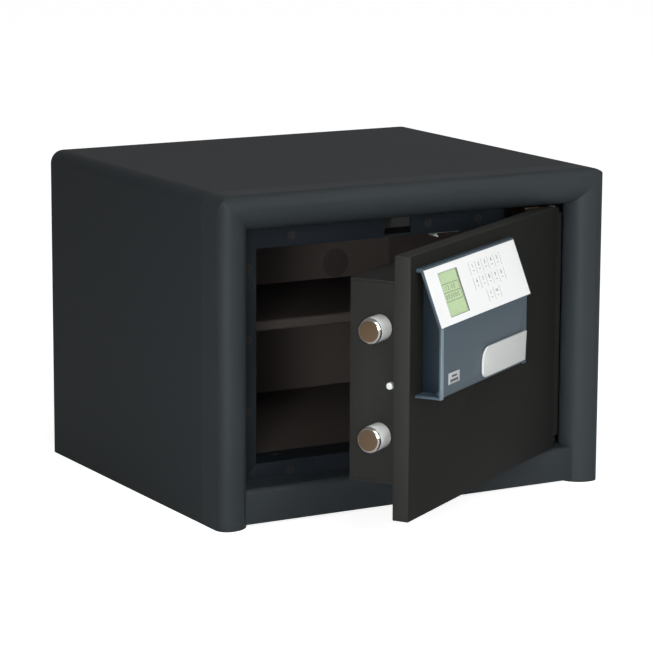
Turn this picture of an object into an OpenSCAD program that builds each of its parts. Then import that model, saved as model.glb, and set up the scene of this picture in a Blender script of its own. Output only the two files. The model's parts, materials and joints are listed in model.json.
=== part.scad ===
// In-room safe: a double-walled steel cabinet with a rolled front surround, and an inset
// door on pin hinges with a bolt case behind it and an electronic keypad with a lever on it.
// X runs to the right, Y into the cabinet and Z up. The origin is the centre of the footprint.
// The door's pieces are drawn for the closed door, then in_door() swings them open.

/* [Cabinet] */
// Overall width
body_w = 435; // [430:1:560]
// Overall depth of the cabinet, without the open door
body_d = 383; // [370:1:480]
// Overall height
body_h = 320; // [318:1:420]
// Outer sheet thickness
sheet_t = 1.5; // [1:0.1:2]
// Radius of the long bends between the top and the sides
bend_r = 13.7; // [8:0.1:20]
// Radius of the rear edges
rear_r = 7.9; // [4:0.1:10]
// Side wall, from the outside to the interior
side_wall = 59.5; // [57:0.5:75]
// Top wall, from the outside to the interior
top_wall = 58; // [58:0.5:75]
// Rear wall, from the outside to the interior
rear_wall = 61.3; // [50:0.1:80]
// Interior floor above the ground
floor_z = 52; // [50:0.5:60]
// Inner liner thickness
liner_t = 1.5; // [1:0.1:2]

/* [Front surround] */
// Width of the rolled bead
bead_w = 35.5; // [34.5:0.1:38]
// Depth of the rolled bead
bead_d = 40; // [38:0.5:41]
// Radius of the bead's outer corner
bead_outer_r = 12; // [9:0.5:12]
// Radius of the bead's broad inner curve
bead_inner_r = 22; // [20:0.5:22]
// Radius of the bead's return
bead_return_r = 10; // [6:0.5:12]
// Wall of the rolled bead
bead_t = 2; // [1.5:0.1:3]
// Sill top above the ground
sill_h = 36.8; // [34:0.1:40]
// Sill underside above the ground
sill_lift = 2.6; // [1:0.1:4]
// Sill front, behind the bead's front
sill_set = 7.7; // [4:0.1:12]
// Radius of the sill's top edge
sill_r = 5; // [3:0.5:8]

/* [Door frame] */
// Front of the frame, behind the bead's front
jamb_set = 41.2; // [40.5:0.1:44]
// Frame sheet thickness
jamb_t = 2; // [1.5:0.1:2.5]
// Depth of the frame's returns
jamb_d = 38; // [36:0.5:44]
// Width of the frame's flanges
jamb_w = 30; // [28:0.5:32]
// Width of the notch in the middle of the top flange
notch_w = 30; // [20:1:40]

/* [Door] */
// Door face, behind the bead's front
face_set = 14.8; // [14:0.1:15.5]
// Thickness of the door leaf
leaf_t = 16.1; // [15.5:0.1:17]
// Door sheet thickness
door_sheet = 2; // [1.5:0.1:2.5]
// Gap between door and bead at each side
side_gap = 2.5; // [1.5:0.1:3]
// Gap above and below the door
end_gap = 1.1; // [0.8:0.1:2]
// Width of the recessed rail at the hinge edge
rail_w = 23; // [22:0.5:25]
// Recess of that rail behind the door face
rail_recess = 5; // [4:0.5:6]
// Opening angle as stored
door_open = 32.9; // [0:0.1:90]

/* [Hinge] */
// Hinge axis, in from the door's hinge edge
hinge_in = 10; // [9:0.5:11]
// Hinge axis, behind the door face
hinge_back = 12; // [11:0.1:12.5]
// Hinge pin diameter
hinge_pin_d = 6; // [5:0.5:7]
// Length of pin in the rail
hinge_pin_in = 22; // [15:1:40]
// Radius of the bracket's eye
hinge_eye_r = 8; // [6:0.5:9]
// Thickness of the hinge brackets
hinge_plate_t = 5; // [4:0.5:6]
// Cut-out at each end of the rail
hinge_notch = 8.5; // [8:0.5:12]

/* [Bolt case] */
// Case side, in from the door's latch edge
case_inset = 28; // [27.5:0.5:32]
// Case width
case_w = 191.5; // [185:0.5:210]
// Case height
case_h = 190.6; // [180:0.2:192]
// Rear of the case, behind the door face
case_back = 74.2; // [70:0.1:74.5]
// Case sheet thickness
case_t = 1.5; // [1:0.1:2]
// Bolt diameter
bolt_d = 24.4; // [20:0.1:26]
// Bolt length
bolt_l = 66; // [60:1:70]
// Throw of the bolts
bolt_throw = 21.5; // [18:0.5:22]
// Distance between the bolts' centres
bolt_pitch = 101.4; // [90:0.2:110]
// Bolt axis, behind the door face
bolt_back = 44.6; // [42:0.1:46]
// Catch pin diameter
catch_d = 6.5; // [5:0.5:8]
// Catch pin reach beyond the case
catch_out = 5; // [3:0.5:5]
// Catch pin axis, behind the door face
catch_back = 31.4; // [28:0.1:34]

/* [Keypad housing] */
// Housing side, in from the door's latch edge
pad_inset = 11.8; // [10:0.1:20]
// Width of the housing's lower face
pad_w = 192.6; // [190:0.1:204]
// How far the sloping panel runs on past the lower face, at the hinge side
pad_over = 8.1; // [4:0.1:9]
// Housing height
pad_h = 119; // [117:0.5:130]
// Housing top, below the door's top
pad_drop = 12.4; // [8:0.1:20]
// Depth of the housing's lower face
pad_d = 26; // [24:0.5:30]
// Depth of the housing at its top edge
pad_top_d = 6.5; // [6:0.5:9]
// Height of the lower face
pad_low_h = 65.5; // [62:0.5:66]
// Housing wall
pad_t = 2.5; // [2:0.1:3]
// Inset of the housing's side walls
pad_side_in = 15.5; // [12:0.5:18]
// Width of the full-depth band at each end of the lower face
pad_band = 5.2; // [3:0.1:8]
// Height of the notch along the foot, between those bands
pad_notch = 3.8; // [2:0.1:5]
// Display width
lcd_w = 40.5; // [36:0.5:42]
// Display height
lcd_h = 41.7; // [38:0.1:43]
// Key spacing along a row
key_pitch = 13.7; // [13:0.1:14.2]
// Spacing of the key rows
key_row = 14.4; // [13.6:0.1:14.6]
// Key travel
key_travel = 0.5; // [0.3:0.1:0.6]

/* [Lever] */
// Lever length
lever_l = 99.2; // [90:0.1:110]
// Lever width
lever_w = 28.2; // [24:0.1:32]
// Lever thickness
lever_t = 2.5; // [2:0.1:5]
// Shaft axis, in from the lever's right end
lever_in = 20; // [18:0.5:24]
// Lever turn
lever_turn = 70; // [60:1:75]
// Shaft diameter
shaft_d = 10; // [8:0.5:12]

/* [Inside] */
// Shelf top above the ground
shelf_z = 169.5; // [150:0.5:172]
// Shelf depth
shelf_d = 180; // [120:1:190]
// Height of the shelf's front lip
shelf_lip = 10; // [8:0.5:14]
// Distance between the two rear anchor holes
anchor_pitch = 181; // [120:1:200]
// Anchor hole above the ground
anchor_z = 185.4; // [184:0.2:200]
// Anchor hole radius
anchor_r = 6; // [5:0.5:7]

/* [Hidden] */
$fn = 64;
run_fit = 0.06;      // radial clearance of what turns or slides in a hole
press_fit = 0.02;    // radial clearance of what is fixed in a hole
loose_fit = 0.6;     // radial clearance of what only passes through a hole
touch = 0.1;         // gap between neighbouring sheets
cut = 1;             // overrun of a cutting solid

front = -body_d / 2;
rear = body_d / 2;
half_w = body_w / 2;
cav_x = half_w - side_wall;
cav_z1 = body_h - top_wall;
cav_y1 = rear - rear_wall;
jamb_y = front + jamb_set;
jamb_y1 = jamb_y + jamb_d;
shell_y = front + bead_d;

// Closed door
face_y = front + face_set;
leaf_y1 = face_y + leaf_t;
door_x1 = half_w - bead_w - side_gap;
door_x0 = -door_x1;
leaf_x1 = door_x1 - rail_w;
door_z0 = sill_h + end_gap;
door_z1 = body_h - bead_w - end_gap;
hinge_x = door_x1 - hinge_in;
hinge_y = face_y + hinge_back;
rail_z0 = door_z0 + hinge_notch;
rail_z1 = door_z1 - hinge_notch;
hinge_play = 0.5;

// Keypad housing, with its own corner at the latch side's foot
pad_x = door_x0 + pad_inset;
pad_x1 = pad_x + pad_w;
pad_z1 = door_z1 - pad_drop;
pad_z0 = pad_z1 - pad_h;
slope_z0 = pad_z0 + pad_low_h;
slope_z1 = pad_z1 - 1.1;
slope_run = pad_d - pad_top_d;
slope_rise = slope_z1 - slope_z0;
slope_l = sqrt(slope_run * slope_run + slope_rise * slope_rise);
slope_a = atan(slope_run / slope_rise);
panel_t = 1;
ledge_t = 1.8;
panel_rim = 0.8;
ledge_w = 10;
ledge_end = 4;
lcd_x = pad_inset + 25.3;
lcd_v = 7.3;
lcd_set = 0.6;
lcd_glass_t = 0.9;
key_x = pad_inset + 98;
key_v = 13.3;
key_w = key_pitch - 1.4;
key_h = key_row - 2.4;
key_t = 2.4;
key_proud = 0.1;
key_gap = 0.1;

// Lever, shaft and crank
shaft_x = pad_x1 - 6.7 - lever_in;
shaft_z = pad_z0 + 4.9 + lever_w / 2;
lever_gap = 0.3;
lever_skin = 1;
lever_y0 = face_y - touch - pad_d - lever_gap - lever_t;
crank_r = bolt_throw / 2 / sin(lever_turn / 2);
crank_pin_d = 8;
crank_slot = crank_pin_d + 1;
crank_y = face_y + 33;
crank_t = 4.5;
arm_y = crank_y + crank_t + 0.6;
arm_t = 3;

// Bolt case
case_x = door_x0 + case_inset;
case_z = shaft_z - 11.85;
case_z0 = case_z - case_h / 2;
case_z1 = case_z + case_h / 2;
case_y1 = face_y + case_back;
cap_t = 3;
bolt_y = face_y + bolt_back;
bolt_x0 = case_x - bolt_throw;
bolt_x1 = bolt_x0 + bolt_l;
bar_w = 12;
bar_t = 8;
coil_x = case_x + 90;
coil_y = arm_y + arm_t / 2;
arm_z0 = shaft_z - crank_r - crank_pin_d;
arm_z1 = shaft_z - crank_r * cos(lever_turn / 2) + crank_pin_d + 4;
plunger_d = 6;
plunger_gap = 2;
plunger_throw = 5;

// Screws: head radius, shank radius, head height
screw = [4.4, 2, 2.2];
screw_l = 9;
// The top screws sit this far above the cavity
top_screw_up = 10.5;

// The frame's screws end short of the thrown bolts
jamb_screw_l = bolt_y - bolt_d / 2 - jamb_y - 0.5;

// ---- placing and shaping helpers ----

// Swings what is drawn for the closed door to its stored angle
module in_door() {
  translate([hinge_x, hinge_y, 0])
    rotate([0, 0, door_open])
      translate([-hinge_x, -hinge_y, 0])
        children();
}

// Cuboid between two corners
module block(a, b) {
  translate(a)
    cube(b - a);
}

// Cylinder along X from x0 to x1
module rod_x(r, x0, x1, y, z) {
  translate([x0, y, z])
    rotate([0, 90, 0])
      cylinder(r = r, h = x1 - x0);
}

// Cylinder along Y from y0 to y1
module rod_y(r, x, z, y0, y1) {
  translate([x, y0, z])
    rotate([-90, 0, 0])
      cylinder(r = r, h = y1 - y0);
}

// A section drawn with X right and Z up, extruded from y0 to y1
module along_y(y0, y1) {
  translate([0, y1, 0])
    rotate([90, 0, 0])
      linear_extrude(y1 - y0)
        children();
}

// A section drawn with Y right and Z up, extruded from x0 to x1
module along_x(x0, x1) {
  translate([x0, 0, 0])
    rotate([90, 0, 90])
      linear_extrude(x1 - x0)
        children();
}

// Both sides of the middle plane
module both_sides() {
  children();
  mirror([1, 0, 0])
    children();
}

// Countersunk cross-head screw along +Z, its head's top at z = 0 and its shank below
module csk_screw(l) {
  recess_l = 4.8;
  recess_w = 1;
  recess_d = 1.3;
  difference() {
    union() {
      translate([0, 0, -screw[2]])
        cylinder(r1 = screw[1], r2 = screw[0], h = screw[2]);
      translate([0, 0, -l])
        cylinder(r = screw[1], h = l - screw[2] + 0.01);
    }
    for (a = [0, 90])
      rotate([0, 0, a])
        translate([-recess_l / 2, -recess_w / 2, -recess_d])
          cube([recess_l, recess_w, recess_d + cut]);
  }
}

// The hole that a countersunk screw sits in
module csk_hole() {
  translate([0, 0, -screw[2] - touch])
    cylinder(r1 = screw[1] + touch, r2 = screw[0] + touch, h = screw[2] + touch);
  translate([0, 0, -screw_l - cut])
    cylinder(r = screw[1] + touch, h = screw_l + cut);
  cylinder(r = screw[0] + touch, h = cut);
}

// ---- cabinet ----

// Outline of the cabinet seen from the front, drawn in by an amount
module front_outline(inset) {
  r = bend_r - inset;
  x = half_w - bend_r;
  z = body_h - bend_r;
  translate([-half_w + inset, inset])
    square([body_w - 2 * inset, z - inset]);
  translate([-x, z - cut])
    square([2 * x, r + cut]);
  for (s = [-1, 1])
    translate([s * x, z])
      circle(r = r);
}

// Rear edge of a sheet: a quarter ring from the wall into the rear face
module rear_corner_section() {
  intersection() {
    difference() {
      circle(r = rear_r);
      circle(r = rear_r - sheet_t);
    }
    square(rear_r + cut);
  }
}

module outer_shell() {
  y1 = rear - rear_r;
  c = bend_r - rear_r;
  color([0.18, 0.21, 0.23])
    union() {
      along_y(shell_y, y1)
        difference() {
          front_outline(0);
          front_outline(sheet_t);
          translate([-half_w + sheet_t, -cut])
            square([body_w - 2 * sheet_t, body_h / 2]);
        }
      both_sides() {
        translate([half_w - rear_r, y1, 0])
          linear_extrude(body_h - bend_r)
            rear_corner_section();
        translate([half_w - bend_r, y1, body_h - bend_r])
          rotate([-90, 0, 0])
            mirror([0, 1, 0])
              rotate_extrude(angle = 90)
                translate([c, 0])
                  rear_corner_section();
      }
      translate([-half_w + bend_r, y1, body_h - rear_r])
        rotate([90, 0, 90])
          linear_extrude(body_w - 2 * bend_r)
            rear_corner_section();
    }
}

// Plan section of the bead: X from its outer side inwards, Y from its front back
module bead_section() {
  translate([0, bead_outer_r])
    square([bead_w - bead_return_r, bead_d - bead_outer_r]);
  translate([bead_outer_r, bead_outer_r])
    circle(r = bead_outer_r);
  translate([bead_outer_r, 0])
    square([bead_w - bead_inner_r - bead_outer_r, bead_inner_r]);
  intersection() {
    translate([bead_w - bead_inner_r, bead_inner_r])
      circle(r = bead_inner_r);
    translate([bead_w - bead_inner_r, 0])
      square(bead_inner_r);
  }
  translate([bead_w - bead_return_r, bead_inner_r])
    circle(r = bead_return_r);
}

// Inside of the bead's tube
module bead_hollow_section() {
  x1 = bead_w - bead_return_r - bead_t;
  y0 = bead_outer_r;
  translate([bead_t, y0])
    square([x1 - bead_t, bead_d - bead_t - y0]);
  translate([bead_outer_r, bead_outer_r])
    circle(r = bead_outer_r - bead_t);
  translate([bead_w - bead_return_r, bead_inner_r])
    circle(r = bead_return_r - bead_t);
}

// Post at the +X side, full height
module post() {
  translate([half_w, front, 0])
    mirror([1, 0, 0])
      linear_extrude(body_h)
        bead_section();
}

// Header across the full width
module header() {
  translate([-half_w, front, body_h])
    rotate([0, 90, 0])
      linear_extrude(body_w)
        bead_section();
}

// The corner square is split along its diagonal between post and header
module below_mitre() {
  along_y(front - cut, front + bead_d + cut)
    polygon([[half_w + cut, -cut], [half_w + cut, body_h + cut], [half_w, body_h],
      [half_w - bead_w - cut, body_h - bead_w - cut], [half_w - bead_w - cut, -cut]]);
}

module above_mitre() {
  along_y(front - cut, front + bead_d + cut)
    polygon([[half_w + cut, body_h + cut], [half_w - bead_w - cut, body_h - bead_w - cut],
      [-half_w + bead_w + cut, body_h - bead_w - cut], [-half_w - cut, body_h + cut]]);
}

module front_surround() {
  color([0.19, 0.22, 0.24])
    difference() {
      intersection() {
        union() {
          both_sides()
            intersection() {
              post();
              below_mitre();
            }
          intersection() {
            header();
            above_mitre();
          }
        }
        along_y(front - cut, front + bead_d + cut)
          front_outline(0);
      }
      both_sides()
        translate([half_w, front, bead_t])
          mirror([1, 0, 0])
            linear_extrude(body_h - bead_w - 2 * bead_t)
              bead_hollow_section();
      translate([-half_w + bead_w + bead_t, front, body_h])
        rotate([0, 90, 0])
          linear_extrude(body_w - 2 * bead_w - 2 * bead_t)
            bead_hollow_section();
    }
}

// Section of the sill, Y right and Z up, drawn in by an amount
module sill_section(inset) {
  y0 = front + sill_set + inset;
  y1 = jamb_y - touch;
  r = sill_r - inset;
  yc = front + sill_set + sill_r;
  zc = sill_h - sill_r;
  translate([y0, sill_lift + inset])
    square([y1 - y0 - inset, zc - sill_lift - inset]);
  translate([yc, zc - cut])
    square([y1 - yc - inset, r + cut]);
  translate([yc, zc])
    circle(r = r);
}

module front_sill() {
  x = half_w - bead_w + bead_return_r;
  color([0.19, 0.22, 0.24])
    difference() {
      along_x(-x, x)
        sill_section(0);
      along_x(-x - cut, x + cut)
        sill_section(sheet_t);
      both_sides()
        translate([half_w + touch, front, -cut])
          mirror([1, 0, 0])
            linear_extrude(body_h)
              square([bead_w - bead_return_r + 2 * touch, bead_d + cut]);
      both_sides()
        translate([half_w - bead_w + bead_inner_r, front + bead_inner_r, -cut])
          cylinder(r = bead_inner_r + touch, h = body_h);
    }
}

module base_pan() {
  x = half_w - sheet_t - touch;
  color([0.16, 0.18, 0.2])
    block([-x, shell_y + touch, 0], [x, rear - rear_r, sheet_t]);
}

// Where the two rear anchors stand
module at_anchors() {
  for (s = [-1, 1])
    translate([s * anchor_pitch / 2, 0, anchor_z])
      children();
}

sleeve_r = anchor_r + 2;

module rear_panel() {
  x = half_w - rear_r - touch;
  color([0.17, 0.2, 0.22])
    difference() {
      along_y(rear - sheet_t, rear)
        union() {
          translate([-x, 0])
            square([2 * x, body_h / 2]);
          front_outline(rear_r + touch);
        }
      at_anchors()
        rod_y(sleeve_r + press_fit, 0, 0, rear - sheet_t - cut, rear + cut);
    }
}

support_t = 1.5;
support_z = shelf_z - 9.5;
support_screw_y = [cav_y1 - shelf_d + 30, cav_y1 - 40];

module at_support_screws() {
  both_sides()
    for (y = support_screw_y)
      translate([cav_x - support_t, y, support_z])
        rotate([0, -90, 0])
          children();
}

module filler_slabs() {
  x0 = cav_x + liner_t + touch;
  x1 = half_w - sheet_t - touch;
  y0 = jamb_y1 + touch;
  y1 = cav_y1 + liner_t + touch;
  y2 = rear - rear_r;
  z0 = sheet_t + touch;
  z1 = body_h - sheet_t - touch;
  low = floor_z - liner_t - touch;
  high = cav_z1 + liner_t + touch;
  color([0.75, 0.73, 0.68]) {
    difference() {
      both_sides()
        block([x0, y0, z0], [x1, y1, body_h - bend_r - touch]);
      at_support_screws()
        csk_hole();
    }
    block([-x0 + touch, y0, z0], [x0 - touch, y1, low]);
    block([-x0 + touch, y0, high], [x0 - touch, y1, z1]);
    difference() {
      block([-x1, y1 + touch, z0], [x1, y2, body_h - bend_r - touch]);
      at_anchors()
        rod_y(sleeve_r + press_fit, 0, 0, y1, y2 + cut);
    }
  }
}

cap_skirt_r = 11;

// Five panels: each side, the floor and the ceiling between them, and the back behind them
module inner_liner() {
  y0 = jamb_y1 + touch;
  y1 = cav_y1 - touch;
  x = cav_x + liner_t;
  color([0.16, 0.13, 0.12]) {
    difference() {
      both_sides()
        block([cav_x, y0, floor_z - liner_t], [x, y1, cav_z1 + liner_t]);
      at_support_screws()
        csk_hole();
    }
    for (z = [floor_z - liner_t, cav_z1])
      block([-cav_x + touch, y0, z], [cav_x - touch, y1, z + liner_t]);
    difference() {
      block([-x, cav_y1, floor_z - liner_t], [x, cav_y1 + liner_t, cav_z1 + liner_t]);
      at_anchors()
        rod_y(cap_skirt_r + press_fit, 0, 0, cav_y1 - cut, cav_y1 + liner_t + cut);
    }
  }
}

// ---- door frame ----

hinge_notch_x0 = leaf_x1 - 34;
top_screw_x = [-119.4, 33.7, 91.8];
side_screw_z = [104, 174, 244];
foot_screw_x = [-120.5, -30, 60];
ledge_screw = [-122, jamb_y + 26];

// Quarter of the frame's front outline that belongs to the top piece, for a given inset
module jamb_wedge(z_in, z_out) {
  w = abs(z_out - z_in);
  polygon([[-cav_x, z_in], [cav_x, z_in], [cav_x + w, z_out], [-cav_x - w, z_out]]);
}

module jamb_side_wedge() {
  w = jamb_w;
  polygon([[cav_x, floor_z], [cav_x, cav_z1], [cav_x + w, cav_z1 + w], [cav_x + w, floor_z - w]]);
}

module at_top_screws() {
  for (x = top_screw_x)
    translate([x, jamb_y, cav_z1 + top_screw_up])
      rotate([90, 0, 0])
        children();
}

module at_foot_screws() {
  for (x = foot_screw_x)
    translate([x, jamb_y, floor_z - 10])
      rotate([90, 0, 0])
        children();
  translate([ledge_screw[0], ledge_screw[1], floor_z])
    children();
}

module at_side_screws() {
  for (z = side_screw_z)
    translate([cav_x + 9, jamb_y, z])
      rotate([90, 0, 0])
        children();
}

module jamb_top() {
  color([0.22, 0.26, 0.3])
    difference() {
      union() {
        along_y(jamb_y, jamb_y + jamb_t)
          jamb_wedge(cav_z1, cav_z1 + jamb_w);
        along_y(jamb_y, jamb_y1)
          jamb_wedge(cav_z1, cav_z1 + jamb_t);
      }
      block([-notch_w / 2 - 1, jamb_y - cut, cav_z1 - cut],
        [notch_w / 2 - 1, jamb_y + jamb_t + cut, cav_z1 + 19]);
      block([hinge_notch_x0, jamb_y - cut, cav_z1 + jamb_t + touch],
        [cav_x + jamb_w, jamb_y + jamb_t + cut, rail_z1 + hinge_play + hinge_plate_t + cut]);
      at_top_screws()
        csk_hole();
    }
}

module jamb_bottom() {
  color([0.22, 0.26, 0.3])
    difference() {
      union() {
        along_y(jamb_y, jamb_y + jamb_t)
          jamb_wedge(floor_z, floor_z - jamb_w);
        along_y(jamb_y, jamb_y1)
          jamb_wedge(floor_z, floor_z - jamb_t);
      }
      block([hinge_notch_x0, jamb_y - cut, rail_z0 - hinge_play - hinge_plate_t - cut],
        [cav_x + jamb_w, jamb_y + jamb_t + cut, floor_z - jamb_t - touch]);
      rod_y(1, ledge_screw[0] + 27, floor_z - 3, jamb_y - cut, jamb_y + jamb_t + cut);
      at_foot_screws()
        csk_hole();
    }
}

// Side piece at +X, with its mitres
module jamb_side() {
  difference() {
    union() {
      along_y(jamb_y, jamb_y + jamb_t)
        jamb_side_wedge();
      along_y(jamb_y, jamb_y1)
        intersection() {
          jamb_side_wedge();
          translate([cav_x, 0])
            square([jamb_t, body_h]);
        }
    }
    at_side_screws()
      csk_hole();
  }
}

module jamb_left() {
  r = bolt_d / 2 + 2.5;
  color([0.22, 0.26, 0.3])
    difference() {
      mirror([1, 0, 0])
        jamb_side();
      for (s = [-1, 1])
        rod_x(r, -cav_x - jamb_t - cut, -cav_x + cut, bolt_y, case_z + s * bolt_pitch / 2);
    }
}

// Ends short of the hinge brackets at its top and foot
module jamb_right() {
  color([0.22, 0.26, 0.3])
    intersection() {
      jamb_side();
      block([0, jamb_y - cut, rail_z0 - hinge_play + cut],
        [half_w, jamb_y1 + cut, rail_z1 + hinge_play - cut]);
    }
}

module frame_screws() {
  color([0.3, 0.33, 0.36]) {
    at_top_screws()
      csk_screw(jamb_screw_l);
    at_foot_screws()
      csk_screw(jamb_screw_l);
    both_sides()
      at_side_screws()
        csk_screw(jamb_screw_l);
    at_support_screws()
      csk_screw(screw_l);
  }
}

// Hinge bracket: an eye over the door's rail, an arm through the frame and a foot on it
module hinge_bracket(z0, foot_z) {
  x0 = hinge_notch_x0 + 20;
  x1 = hinge_x + hinge_eye_r;
  y1 = jamb_y + 20;
  difference() {
    union() {
      translate([hinge_x, hinge_y, z0])
        cylinder(r = hinge_eye_r, h = hinge_plate_t);
      block([hinge_x - hinge_eye_r, hinge_y, z0], [x1, jamb_y + jamb_t, z0 + hinge_plate_t]);
      block([x0, leaf_y1 + 4, z0], [x1, y1, z0 + hinge_plate_t]);
      block([x0, y1 - 4, min(z0, foot_z)], [x1, y1, max(z0, foot_z)]);
    }
    translate([hinge_x, hinge_y, z0 - cut])
      cylinder(r = hinge_pin_d / 2 + run_fit, h = hinge_plate_t + 2 * cut);
  }
}

module hinge_brackets() {
  color([0.42, 0.33, 0.22]) {
    hinge_bracket(rail_z1 + hinge_play, cav_z1 + jamb_t);
    hinge_bracket(rail_z0 - hinge_play - hinge_plate_t, floor_z - jamb_t);
  }
}

// Small bent clip under the header
module header_clip() {
  x0 = 46;
  y0 = jamb_y + 5;
  w = 15;
  r = 2.6;
  t = 1.2;
  z1 = cav_z1 - touch;
  color([0.78, 0.8, 0.8])
    along_y(y0, y0 + w)
      union() {
        translate([x0 + r, z1 - t])
          square([24, t]);
        difference() {
          translate([x0 + r, z1 - r])
            circle(r = r);
          translate([x0 + r, z1 - r])
            circle(r = r - t);
          translate([x0 + r, z1 - r + touch - r])
            square([r + cut, 2 * r - t]);
        }
      }
}

// ---- interior ----

shelf_t = 1.5;

module shelf() {
  x = cav_x - 1;
  y1 = cav_y1 - 1.5;
  y0 = y1 - shelf_d;
  t = shelf_t;
  r = 3;
  color([0.17, 0.14, 0.13])
    along_x(-x, x)
      difference() {
        union() {
          translate([y0 + r, shelf_z - t])
            square([y1 - y0 - r, t]);
          translate([y0 + r, shelf_z - r])
            circle(r = r);
          translate([y0, shelf_z - shelf_lip + t])
            square([t, shelf_lip - r - t]);
          translate([y0 + t, shelf_z - shelf_lip + t])
            circle(r = t);
          translate([y0 + t, shelf_z - shelf_lip])
            square([6, t]);
        }
        intersection() {
          translate([y0 + r, shelf_z - r])
            circle(r = r - t);
          translate([y0 + t, shelf_z - 2 * r])
            square([2 * r - t, 2 * r - t]);
        }
        translate([y0 + r, shelf_z - 2 * r - t])
          square([r + cut, 2 * r]);
      }
}

module shelf_supports() {
  y1 = cav_y1 - 3;
  y0 = y1 - shelf_d + 12;
  t = support_t;
  z1 = shelf_z - shelf_t - touch;
  color([0.2, 0.17, 0.16])
    difference() {
      both_sides() {
        block([cav_x - t, y0, z1 - 16], [cav_x, y1, z1]);
        block([cav_x - 14, y0, z1 - t], [cav_x, y1, z1]);
      }
      at_support_screws()
        csk_hole();
    }
}

module anchor_sleeves() {
  color([0.7, 0.7, 0.68])
    at_anchors()
      difference() {
        rod_y(sleeve_r, 0, 0, cav_y1 + liner_t, rear);
        rod_y(anchor_r, 0, 0, cav_y1, rear + cut);
      }
}

module anchor_caps() {
  color([0.12, 0.11, 0.11])
    at_anchors()
      union() {
        rod_y(15.5, 0, 0, cav_y1 - 1.6, cav_y1 - touch);
        difference() {
          rod_y(cap_skirt_r, 0, 0, cav_y1 - 3, cav_y1 + liner_t - touch);
          rod_y(9, 0, 0, cav_y1 - touch, cav_y1 + liner_t + cut);
        }
      }
}

// ---- door leaf ----

module door_skin() {
  color([0.2, 0.19, 0.18])
    in_door()
      difference() {
        block([door_x0, face_y, door_z0], [leaf_x1, leaf_y1, door_z1]);
        block([door_x0 + door_sheet, face_y + door_sheet, door_z0 + door_sheet],
          [leaf_x1 - door_sheet, leaf_y1 + cut, door_z1 - door_sheet]);
        rod_y(shaft_d / 2 + 3 + press_fit, shaft_x, shaft_z, face_y - cut, leaf_y1);
      }
}

module door_core() {
  g = door_sheet + touch;
  color([0.75, 0.73, 0.68])
    in_door()
      difference() {
        block([door_x0 + g, face_y + g, door_z0 + g],
          [leaf_x1 - g, leaf_y1 - door_sheet - touch, door_z1 - g]);
        rod_y(shaft_d / 2 + 3 + press_fit, shaft_x, shaft_z, face_y, leaf_y1);
      }
}

module door_back_plate() {
  g = door_sheet + touch;
  color([0.2, 0.19, 0.18])
    in_door()
      difference() {
        block([door_x0 + g, leaf_y1 - door_sheet, door_z0 + g], [leaf_x1 - g, leaf_y1, door_z1 - g]);
        rod_y(shaft_d / 2 + 3 + press_fit, shaft_x, shaft_z, face_y, leaf_y1 + cut);
      }
}

module hinge_rail() {
  color([0.12, 0.12, 0.12])
    in_door()
      difference() {
        block([leaf_x1 + touch, face_y + rail_recess, rail_z0], [door_x1, leaf_y1, rail_z1]);
        for (z = [rail_z0, rail_z1])
          translate([hinge_x, hinge_y, z - hinge_pin_in])
            cylinder(r = hinge_pin_d / 2 + press_fit, h = 2 * hinge_pin_in);
      }
}

module hinge_pins() {
  reach = hinge_play + hinge_plate_t + 1;
  gap = 0.2;
  color([0.6, 0.6, 0.62])
    in_door() {
      translate([hinge_x, hinge_y, rail_z1 - hinge_pin_in + gap])
        cylinder(r = hinge_pin_d / 2, h = hinge_pin_in + reach);
      translate([hinge_x, hinge_y, rail_z0 - reach])
        cylinder(r = hinge_pin_d / 2, h = hinge_pin_in + reach - gap);
    }
}

// ---- bolt case ----

module case_cover() {
  x1 = case_x + case_w;
  color([0.1, 0.1, 0.1])
    in_door()
      difference() {
        block([case_x, leaf_y1 + touch, case_z0 + cap_t], [x1, case_y1, case_z1 - cap_t]);
        block([case_x + case_t, leaf_y1 - cut, case_z0],
          [x1 - case_t, case_y1 - case_t, case_z1]);
        for (s = [-1, 1])
          rod_x(bolt_d / 2 + loose_fit, case_x - cut, case_x + case_t + cut,
            bolt_y, case_z + s * bolt_pitch / 2);
        rod_x(catch_d / 2 + run_fit, case_x - cut, case_x + case_t + cut,
          face_y + catch_back, catch_z);
        at_case_screws()
          csk_hole();
      }
}

// Two end caps that close the cover at its top and foot
module case_caps() {
  x1 = case_x + case_w;
  color([0.1, 0.1, 0.1])
    in_door()
      for (z = [case_z0, case_z1 - cap_t + touch])
        block([case_x, leaf_y1 + touch, z], [x1, case_y1, z + cap_t - touch]);
}

module at_case_screws() {
  for (x = [case_x + 14, case_x + case_w - 14])
    for (z = [case_z0 + 16, case_z1 - 16])
      translate([x, case_y1, z])
        rotate([-90, 0, 0])
          children();
}

module case_screws() {
  color([0.35, 0.35, 0.36])
    in_door()
      at_case_screws()
        csk_screw(screw_l);
}

bush_x = case_x + case_t + touch;

module bolt_bushes() {
  color([0.68, 0.58, 0.35])
    in_door()
      for (s = [-1, 1])
        difference() {
          rod_x(bolt_d / 2 + 4, bush_x, bush_x + 8, bolt_y, case_z + s * bolt_pitch / 2);
          rod_x(bolt_d / 2 + run_fit, bush_x - cut, bush_x + 8 + cut,
            bolt_y, case_z + s * bolt_pitch / 2);
        }
}

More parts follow.
